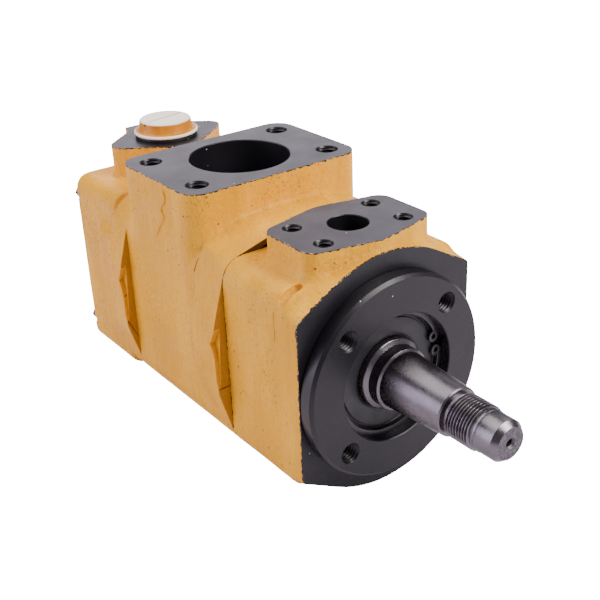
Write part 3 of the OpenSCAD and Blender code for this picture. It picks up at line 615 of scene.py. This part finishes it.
vein_mesh = bpy.data.meshes.new_from_object(vein.evaluated_get(bpy.context.evaluated_depsgraph_get()))
bpy.data.objects.remove(vein)
bead = bmesh.new()
bead.from_mesh(vein_mesh)
bmesh.ops.remove_doubles(bead, verts=bead.verts, dist=1e-6)
combine(suction_casting, [piece_from("vein", bead)], "UNION")

# Joints, inlet pad and feet are cut flat. The bore takes both cartridges, with the suction chamber
# between them, and the port opens into a neck above the chamber.
combine(suction_casting, [
    faced("face_front", ring_front - 20, ring_front), faced("face_back", rear_joint, rear_joint + 20),
    brick("face_pad", (-wide, 60, inlet.z), (wide, 200, inlet.z + 20)),
    brick("face_foot", (-wide, 60, foot_z - 20), (wide, 200, foot_z))], "DIFFERENCE")
inlet_r = mount_size("inlet_port", "r_mm")
inlet_floor = inlet.z - mount_size("inlet_port", "length_mm")
neck_r, suction_r, bolt_r = 31.4, 41, 6.6
front_side_back = high("front_side_plate").y
rear_side_front = low("rear_side_plate").y
suction_cuts = [
    stood("core", lathe([(cartridge_r, ring_front - 1), (cartridge_r, front_side_back),
                         (suction_r, front_side_back), (suction_r, rear_side_front),
                         (cartridge_r, rear_side_front), (cartridge_r, rear_joint + 1)], 128)),
    stood("port", lathe([(neck_r, 0), (neck_r, inlet_floor), (inlet_r, inlet_floor),
                         (inlet_r, inlet.z - 0.5), (inlet_r + 0.7, inlet.z + 0.2)], 160),
          (0, inlet.y, 0), "Z")]
for a, b in corners:
    hole = lathe([(bolt_r, ring_front - 1), (bolt_r, rear_joint + 1)])
    suction_cuts.append(stood("bolt_hole", hole, (a * bolt_x, 0, b * bolt_z)))
inlet_tap = mount_size("inlet_bolts", "hole_r_mm")
inlet_tap_x, inlet_tap_y, inlet_tap_depth = 44.45, 25.4, 27
for a, b in corners:
    seat = (a * inlet_tap_x, inlet.y + b * inlet_tap_y, inlet.z)
    suction_cuts += tapped(seat, inlet_tap, inlet_tap_depth, 2.1)
suction_cuts += [pry_notch(side, ring_front) for side in both]
slit_outline = ((90.1, 51.0), (91.0, 50.5), (93.3, 42.4), (92.2, 42.8))
suction_cuts.append(wrapped("slit", [(x, y, z, 0) for x in (-66, -54.6) for y, z in slit_outline]))
combine(suction_casting, suction_cuts, "DIFFERENCE")


# The tower's rear wall lies in the plane of the rear joint, so that whole plane counts as paint.
def suction_kind(centre, normal):
    if centre.y < ring_front + touch and normal.y < -level_face:
        return 2
    if centre.y > rear_joint - touch and normal.y > level_face:
        return 0
    if centre.z > inlet.z - touch and normal.z > level_face:
        return 1
    if math.hypot(centre.x, centre.z) < core_r:
        return 1
    if math.hypot(centre.x, centre.y - inlet.y) < inlet_r + 1 and centre.z < inlet.z:
        return 1
    at_tap = math.hypot(abs(centre.x) - inlet_tap_x, abs(centre.y - inlet.y) - inlet_tap_y) < 7.5
    at_bolt = math.hypot(abs(centre.x) - bolt_x, abs(centre.z) - bolt_z) < bolt_r + 0.3
    return 1 if (at_tap and centre.z > inlet.z - inlet_tap_depth - 1) or at_bolt else 0


finish_mesh(suction_casting, finishes, suction_kind)
hand_over(suction_casting, "inlet_housing", "housing")

# Rear casting: joint flange, box with side bosses, the lozenge pad of the plugged outlet and the
# spine down the back that holds the outlet passage. The bolt heads sit on spot faces at its back.
cover_back = low("bolt_washers").y
cover_thickness = 18.2
cover_flange = rear_joint + cover_thickness
rear_outlet = port_face("rear_outlet_port")
spine_back = high("rear_cover").y
rear_pad = [(0, 27.5), (29.7, 9), (-29.7, 9)]
box_x, box_z, box_corner = 47.15, 49.3, 10
boss_side, boss_top, boss_length = (59.6, 33), (54, 42), 16
half_tab = 14
rear_blocks = joint_flange("rear_casting", rear_joint - spare, cover_flange) + [
    wrapped("box", section(box_x, box_z, cover_flange - 2, box_corner)
            + section(box_x, box_z, cover_back + spare, box_corner)),
    wrapped("boss", [disc for y in (cover_flange - 1, cover_flange + boss_length)
                     for disc in section(*boss_side, y, 1.5) + section(*boss_top, y, 1.5)]),
    wrapped("pad", [(x, rear_outlet.y, z, r) for x, r in rear_pad
                    for z in (0, rear_outlet.z + pad_spare)], "Z"),
    brick("tab", (-half_tab, rear_outlet.y, 20), (half_tab, spine_back, rear_outlet.z + pad_spare)),
    wrapped("spine", [(x, y, z, r) for x, z, r in ((0, -10, 14), (-12, 36, 2), (12, 36, 2))
                      for y in (cover_back - 2, spine_back)])]
rear_casting = cast(rear_blocks)
combine(rear_casting, [
    faced("face_front", rear_joint - 20, rear_joint),
    brick("face_pad", (-wide, 160, rear_outlet.z), (wide, 260, rear_outlet.z + 20)),
    brick("face_foot", (-wide, 160, foot_z - 20), (wide, 260, foot_z))], "DIFFERENCE")
bush_front = low("rear_bush").y
bush_back = high("rear_bush").y + 0.2
plates_back = high("rear_pressure_plate").y
plug_thread_r, plug_pitch = 16.65, 2.3
chamber_back = bush_back - 6
rear_gap, bush_r, rear_passage, spot_r = 21, 16.05, 12.65, 13
rear_cuts = [
    stood("core", lathe([(cartridge_r, rear_joint - 1), (cartridge_r, plates_back), (chamber_r, plates_back),
                         (chamber_r, chamber_back), (rear_gap, chamber_back), (rear_gap, bush_front),
                         (bush_r, bush_front), (bush_r, bush_back)], 128)),
    stood("thread", threaded(plug_thread_r - 0.5, plug_thread_r + 0.7, plug_pitch, -19, 0.2, 96),
          rear_outlet, "Z"),
    stood("passage", lathe([(rear_passage, 27), (rear_passage, rear_outlet.z - 18)]),
          (0, rear_outlet.y, 0), "Z")]
for a, b in corners:
    seat = (a * bolt_x, 0, b * bolt_z)
    rear_cuts.append(stood("bolt_hole", lathe([(bolt_r, rear_joint - 1), (bolt_r, cover_back + 20)]), seat))
    rear_cuts.append(stood("spot_face", lathe([(spot_r, cover_back), (spot_r, cover_back + 20)], 64), seat))
rear_cuts += [pry_notch(side, rear_joint) for side in both]
combine(rear_casting, rear_cuts, "DIFFERENCE")


def rear_kind(centre, normal):
    if centre.y < rear_joint + touch and normal.y < -level_face:
        return 2
    if centre.z > rear_outlet.z - touch and normal.z > level_face:
        return 1
    if math.hypot(centre.x, centre.z) < core_r and centre.y < bush_back + 0.1:
        return 1
    if math.hypot(centre.x, centre.y - rear_outlet.y) < plug_thread_r + 1.5 and centre.z < rear_outlet.z:
        return 1
    return 1 if math.hypot(abs(centre.x) - bolt_x, abs(centre.z) - bolt_z) < bolt_r + 0.3 else 0


finish_mesh(rear_casting, finishes, rear_kind)
hand_over(rear_casting, "rear_cover", "housing")

# Drive shaft: turned and ground steel, with a 1 to 8 taper, a thread for the nut and a plain
# point in front. Its hidden part behind the seal keeps the frame's own shape.
tip_y = low("drive_shaft").y


# Turned and ground steel: fine rings round the axis, a dark ground tone and small marks.
def turned_steel(name, tint, roughness=0.3, ring=9000.0):
    material, tree, shader = new_material(name)
    patch = grain(tree, 60, 4)
    darker = tuple(c * 0.66 for c in tint)
    tree.links.new(ramp(tree, patch, [(0.3, darker), (0.7, tint)]), shader.inputs["Base Color"])
    shader.inputs["Metallic"].default_value = 1.0
    uneven = maths(tree, "MULTIPLY", band(tree, patch, -0.4, 1.6), roughness * 2)
    tree.links.new(uneven, shader.inputs["Roughness"])
    rings = grain(tree, ring, 2, 0.5, (0.02, 1, 0.02))
    bumps(tree, shader, [(rings, 0.0001, 0.35), (grain(tree, 700, 3), 0.0002, 0.1)])
    return material


# Any other material of one tint: mottled a little, with a fine grain and an uneven gloss.
def plain(name, tint, roughness, metallic=0.0, bump_scale=500, bump=0.1, mottle=80, shade=0.78):
    material, tree, shader = new_material(name)
    patch = grain(tree, mottle, 4)
    darker = tuple(c * shade for c in tint)
    tree.links.new(ramp(tree, patch, [(0.3, darker), (0.7, tint)]), shader.inputs["Base Color"])
    shader.inputs["Metallic"].default_value = metallic
    uneven = maths(tree, "MULTIPLY", band(tree, patch, -0.6, 1.4), roughness * 2)
    tree.links.new(uneven, shader.inputs["Roughness"])
    bumps(tree, shader, [(grain(tree, bump_scale, 3), 0.0003, bump)])
    return material


shaft_steel = turned_steel("ground_shaft_steel", (0.2, 0.185, 0.2), 0.3)
sawn_steel = plain("sawn_steel", (0.22, 0.2, 0.22), 0.5, 1.0, 700, 1.0, 760, 0.3)
nut_root, nut_crest, nut_pitch = 10.6, 12.2, 1.81
thread_start, thread_end = -72.5, -54.6
nose = lathe([(8.7, tip_y), (11.0, tip_y + 3.1), (11.0, -74.9), (11.3, -74.2), (11.2, -73.6),
              (10.7, -73.2), (10.7, -54.2), (10.5, -54.0), (10.5, -52.9), (12.5, -52.75), (13.35, -52.15),
              (13.43, -51.9), (15.84, -12.9), (15.9, -12.65), (16.6, -12.3), (17.25, -11.9), (17.3, -11.4),
              (17.3, -6.9), (17.4, -5.7), (19.6, -4.5), (19.9, -4.1), (19.9, 3)], 160)
screw = threaded(nut_root, nut_crest, nut_pitch, thread_start, thread_end, 120, 16)
for v in screw.verts:
    fade = min(1.0, (v.co.z / mm - thread_start) / 1.4, (thread_end - v.co.z / mm) / 1.0)
    reach = math.hypot(v.co.x, v.co.y) / mm
    if reach > 1:
        shift = (nut_root + (reach - nut_root) * max(0.0, fade)) / reach
        v.co.x *= shift
        v.co.y *= shift
shaft = stood("drive_shaft_ground", nose)
drill = lathe([(3.4, tip_y - 0.4), (2.1, tip_y + 1.2), (2.1, tip_y + 9), (0.1, tip_y + 10.2)], 48)
combine(shaft, [stood("screw", screw)], "UNION")
combine(shaft, [stood("drill", drill)], "DIFFERENCE")
rear_half = bmesh.new()
rear_half.from_mesh(frame["nodes"]["drive_shaft"].data)
bmesh.ops.remove_doubles(rear_half, verts=rear_half.verts, dist=1e-6)
cut = bmesh.ops.bisect_plane(rear_half, geom=rear_half.verts[:] + rear_half.edges[:] + rear_half.faces[:],
                             plane_co=(0, 2.5 * mm, 0), plane_no=(0, -1, 0), clear_outer=True)
cut_edges = [g for g in cut["geom_cut"] if isinstance(g, bmesh.types.BMEdge)]
bmesh.ops.holes_fill(rear_half, edges=cut_edges, sides=0)
rear_half.from_mesh(shaft.data)
rear_half.to_mesh(shaft.data)
rear_half.free()


# The sawn end face and its centre drill are duller than the ground rest.
def shaft_kind(centre, normal):
    in_drill = math.hypot(centre.x, centre.z) < 2.9 and centre.y < tip_y + 11
    return 1 if centre.y < tip_y + 0.02 or in_drill else 0


finish_mesh(shaft, [shaft_steel, sawn_steel], shaft_kind, 0.12, 24)
hand_over(shaft, "drive_shaft", "shaft")

# Shaft seal: a pressed ring of black rubber with a ribbed face, held in the mouth of the front
# casting. A garter spring keeps its lip on the shaft, and an open snap ring keeps it in place.
rubber = plain("black_rubber", (0.019, 0.018, 0.021), 0.42, 0.0, 900, 0.2)
seal_front = low("shaft_seal").y
seal_back = high("shaft_seal").y
land, seal_r = 19.9, 35.95
rib, furrow = seal_front + 0.1, seal_front + 0.9
pocket_floor, pocket_back = seal_front + 2.6, seal_front + 5.4
seal = stood("shaft_seal_ribbed", lathe([
    (seal_r, seal_front + 0.7), (35.4, rib), (34.6, seal_front), (34.1, furrow),
    (33.3, furrow), (32.9, rib), (32.1, seal_front), (31.6, furrow),
    (30.9, furrow), (30.4, rib), (22.2, seal_front), (21.4, seal_front + 0.3),
    (land + 0.25, furrow), (land + 0.1, seal_front + 3.4), (land + 1.2, seal_front + 5),
    (land + 1.6, pocket_back), (land + 4.2, pocket_back), (land + 4.2, pocket_floor),
    (33.4, pocket_floor), (33.4, seal_back), (seal_r, seal_back)], 128, ring=True))


# Sharp edges of a piece that is one material: slightly rounded, then shaded crisp. A radius of 0
# leaves their shape alone.
def soften(piece, material, radius):
    sharp, crisp = math.radians(30), math.radians(38)
    block = bmesh.new()
    block.from_mesh(piece.data)
    bmesh.ops.remove_doubles(block, verts=block.verts, dist=2e-6)
    keen = [e for e in block.edges if len(e.link_faces) == 2 and e.calc_face_angle(0) > sharp]
    if radius:
        bmesh.ops.bevel(block, geom=keen, offset=radius * mm, offset_type="OFFSET", affect="EDGES",
                        segments=2, profile=0.5, material=-1, clamp_overlap=True)
    for face in block.faces:
        face.smooth = True
    for edge in block.edges:
        edge.smooth = edge.calc_face_angle(0) < crisp
    block.to_mesh(piece.data)
    block.free()
    piece.data.materials.clear()
    piece.data.materials.append(material)


# A copy of a frame node's mesh, for the pieces whose own solid only needs its edges broken.
def rounded_copy(node_name, material, body, radius):
    mesh = frame["nodes"][node_name].data.copy()
    piece = bpy.data.objects.new(node_name + "_finished", mesh)
    bpy.context.scene.collection.objects.link(piece)
    soften(piece, material, radius)
    hand_over(piece, node_name, body)


soften(seal, rubber, 0.0)
hand_over(seal, "shaft_seal", "housing")
spring_steel = plain("spring_steel", (0.09, 0.085, 0.095), 0.38, 1.0)
rounded_copy("seal_snap_ring", spring_steel, "housing", 0.3)


# The frame's own solids inside the pump keep their shape and get their finish.
def dress(names, material):
    for name in names:
        mesh = frame["nodes"][name].data
        mesh.materials.clear()
        mesh.materials.append(material)


pin_steel = turned_steel("pin_steel", (0.6, 0.6, 0.62), 0.25)
dress(["seal_spring", "shaft_key", "front_dowels", "rear_dowels"], pin_steel)

# Ball bearing behind the seal: polished rings and balls in a brass cage, with its snap ring.
race_steel = turned_steel("bearing_steel", (0.72, 0.72, 0.75), 0.14)
brass = plain("cage_brass", (0.62, 0.42, 0.14), 0.34, 1.0)
dress(["bearing_outer_race", "bearing_inner_race", "bearing_balls"], race_steel)
dress(["bearing_cage"], brass)
dress(["shaft_snap_ring"], spring_steel)

# Vane cartridges, one on each side of the suction chamber: hardened and ground cam rings, rotors
# and vanes between bronze port plates. A bronze bush carries the shaft's end in the rear casting.
hard_steel = turned_steel("hardened_steel", (0.5, 0.5, 0.53), 0.26)
bronze = turned_steel("bearing_bronze", (0.5, 0.33, 0.16), 0.36)
ends = ("front_", "rear_")
dress([end + part for end in ends for part in ("cam_ring", "rotor", "vanes")], hard_steel)
dress([end + part for end in ends for part in ("pressure_plate", "side_plate")] + ["rear_bush"], bronze)
dress(["front_joint_seal", "rear_joint_seal", "front_plate_seal", "rear_plate_seal"], rubber)

# Body bolts: four long hexagon bolts in black oxide, each on a washer at the rear face, clamp the
# three castings together.
bolt_black = plain("black_oxide", (0.03, 0.03, 0.033), 0.42, 0.6, 700, 0.25)
rounded_copy("body_bolts", bolt_black, "housing", 0.5)
rounded_copy("bolt_washers", bolt_black, "housing", 0.3)

# Shipping plug of the rear outlet: moulded amber plastic with a painted highlight, pale on top and at its
# rim, with a coin slot and the stub of its gate at the slot's left end. It sits on a black rubber ring.
plug_flange = high("plug_seal").z
plug_top = high("outlet_plug").z
head_z = plug_top - plug_flange
rim_r = high("outlet_plug").x
plug_foot = (0, rear_outlet.y, plug_flange)


def amber_plastic():
    material, tree, shader = new_material("amber_plastic")
    coordinates = node(tree, "ShaderNodeTexCoord").outputs["Object"]
    place = node(tree, "ShaderNodeSeparateXYZ", {"Vector": coordinates})
    across = maths(tree, "POWER", place.outputs["X"], 2.0)
    along = maths(tree, "POWER", maths(tree, "SUBTRACT", place.outputs["Y"], rear_outlet.y * mm), 2.0)
    reach = maths(tree, "SQRT", maths(tree, "ADD", across, along), 0.0)
    # Painted highlight: the top and the rim of the flange are painted pale cream, to stand in for the light
    # falling on them.
    rim = band(tree, reach, 0.0192, 0.0197)
    top = band(tree, place.outputs["Z"], (plug_top - 1.1) * mm, (plug_top - 0.5) * mm)
    amber = ramp(tree, grain(tree, 90, 3), [(0.35, (0.50, 0.17, 0.003)), (0.65, (0.66, 0.25, 0.006))])
    pale = ramp(tree, grain(tree, 60, 3), [(0.3, (0.98, 0.84, 0.62)), (0.7, (1.0, 0.93, 0.78))])
    body = mix(tree, maths(tree, "MAXIMUM", rim, top), amber, pale)
    tree.links.new(body, shader.inputs["Base Color"])
    tree.links.new(band(tree, grain(tree, 120, 3), -0.5, 2.4), shader.inputs["Roughness"])
    bumps(tree, shader, [(grain(tree, 420, 3), 0.0005, 0.2)])
    shader.inputs["Specular IOR Level"].default_value = 0.25
    return material


plug = stood("outlet_plug_moulded", lathe([
    (13.2, -13.6), (16.1, -13.6), (16.2, -13.2), (16.2, 0), (rim_r - 0.6, 0), (rim_r - 0.1, 0.4),
    (rim_r, 0.9), (rim_r - 0.2, 1.5), (rim_r - 0.8, 1.9), (18.4, 2.0), (17.4, 2.3), (16.9, 3.0),
    (16.6, head_z - 1.5), (16.3, head_z - 0.7), (15.6, head_z - 0.15), (14.8, head_z)], 128), plug_foot, "Z")
slot_turn = Matrix.Translation(Vector(plug_foot) * mm) @ Matrix.Rotation(math.radians(10.5), 4, "Z")
slot_size = Matrix.Diagonal((40 * mm, 1.9 * mm, 4.4 * mm, 1))
slot = bmesh.new()
bmesh.ops.create_cube(slot, size=1,
                      matrix=slot_turn @ Matrix.Translation(Vector((0, 0, head_z)) * mm) @ slot_size)
hollow = stood("hollow", lathe([(12.6, -14.6), (12.6, -1)], 64), plug_foot, "Z")
combine(plug, [piece_from("slot", slot), hollow], "DIFFERENCE")
stub = bmesh.new()
bmesh.ops.create_icosphere(stub, subdivisions=3, radius=1.5 * mm,
                           matrix=slot_turn @ Matrix.Translation(Vector((-14.9, 0, head_z - 0.9)) * mm))
combine(plug, [piece_from("stub", stub)], "UNION")
soften(plug, amber_plastic(), 0.0)
hand_over(plug, "outlet_plug", "plug")
rounded_copy("plug_seal", rubber, "plug", 0.2)

# Table top: a wide pale sheet under the feet. Seen by the camera, it and the room behind it are
# so bright that they fade into plain white.
seen_glow = 18.0
sheet = bmesh.new()
bmesh.ops.create_grid(sheet, x_segments=1, y_segments=1, size=6,
                      matrix=Matrix.Translation((0, 0, foot_z * mm)))
floor = piece_from("floor", sheet)
table_top, table_tree, table_shader = new_material("table_top")
table_shader.inputs["Base Color"].default_value = (0.75, 0.71, 0.78, 1)
table_shader.inputs["Roughness"].default_value = 0.6
table_shader.inputs["Emission Color"].default_value = (1, 1, 1, 1)
seen = node(table_tree, "ShaderNodeLightPath").outputs["Is Camera Ray"]
shine = maths(table_tree, "MULTIPLY", seen, seen_glow)
table_tree.links.new(shine, table_shader.inputs["Emission Strength"])
floor.data.materials.append(table_top)

# Soft studio light: wide panels overhead and behind, and a smaller one in front on the right.
cool = (1.0, 0.925, 1.05)
warm = (1.0, 0.96, 0.96)
room = bpy.data.worlds.new("room")
room.use_nodes = True
sky = room.node_tree.nodes["Background"]
sky.inputs["Color"].default_value = (*cool, 1)
seen = node(room.node_tree, "ShaderNodeLightPath").outputs["Is Camera Ray"]
glow = maths(room.node_tree, "MULTIPLY", seen, seen_glow)
room.node_tree.links.new(maths(room.node_tree, "MAXIMUM", glow, 0.25), sky.inputs["Strength"])
bpy.context.scene.world = room


def panel(name, place, aim, size, power, tint):
    light = bpy.data.lights.new(name, "AREA")
    light.shape = "RECTANGLE"
    light.size, light.size_y = size
    light.energy = power
    light.color = tint
    lamp = bpy.data.objects.new(name, light)
    lamp.location = place
    lamp.rotation_euler = (Vector(aim) - Vector(place)).to_track_quat("-Z", "Y").to_euler()
    bpy.context.scene.collection.objects.link(lamp)


panel("overhead", (-0.1, 0.6, 1.05), (0, 0.1, 0), (1.1, 1.1), 12.5, warm)
panel("front_right", (0.5, -0.8, 0.95), (0, 0.05, 0), (0.8, 0.8), 30, warm)
panel("back_left", (-1.2, 0.7, 0.4), (0, 0.1, 0), (1.2, 1.0), 13, (1.0, 0.91, 1.12))
panel("back_right", (0.72, 1.1, 0.48), (0, 0.1, 0.05), (1.2, 0.9), 6.0, cool)

# Camera: in front of the shaft, to its left and above, where the photograph was taken. Its focal
# length in pixels of a 600 pixel picture is turned into millimetres of a 36 mm sensor.
focal, picture, sensor = 1027.65, 600, 36
eye = Vector((-0.3061, -0.3535, 0.2766))
azimuth, elevation, roll = (math.radians(a) for a in (-35.48, 26.59, -2.42))
back = Vector((math.sin(azimuth) * math.cos(elevation), -math.cos(azimuth) * math.cos(elevation),
               math.sin(elevation)))
right = Vector((math.cos(azimuth), math.sin(azimuth), 0))
up = back.cross(right)
level = math.cos(roll) * right + math.sin(roll) * up
upright = math.cos(roll) * up - math.sin(roll) * right
view = bpy.data.cameras.new("camera")
view.lens = focal / picture * sensor
view.sensor_width = sensor
view.clip_start = 0.01
camera = bpy.data.objects.new("camera", view)
turned = Matrix((level, upright, back)).transposed().to_4x4()
camera.matrix_world = Matrix.Translation(eye) @ turned
bpy.context.scene.collection.objects.link(camera)
bpy.context.scene.camera = camera
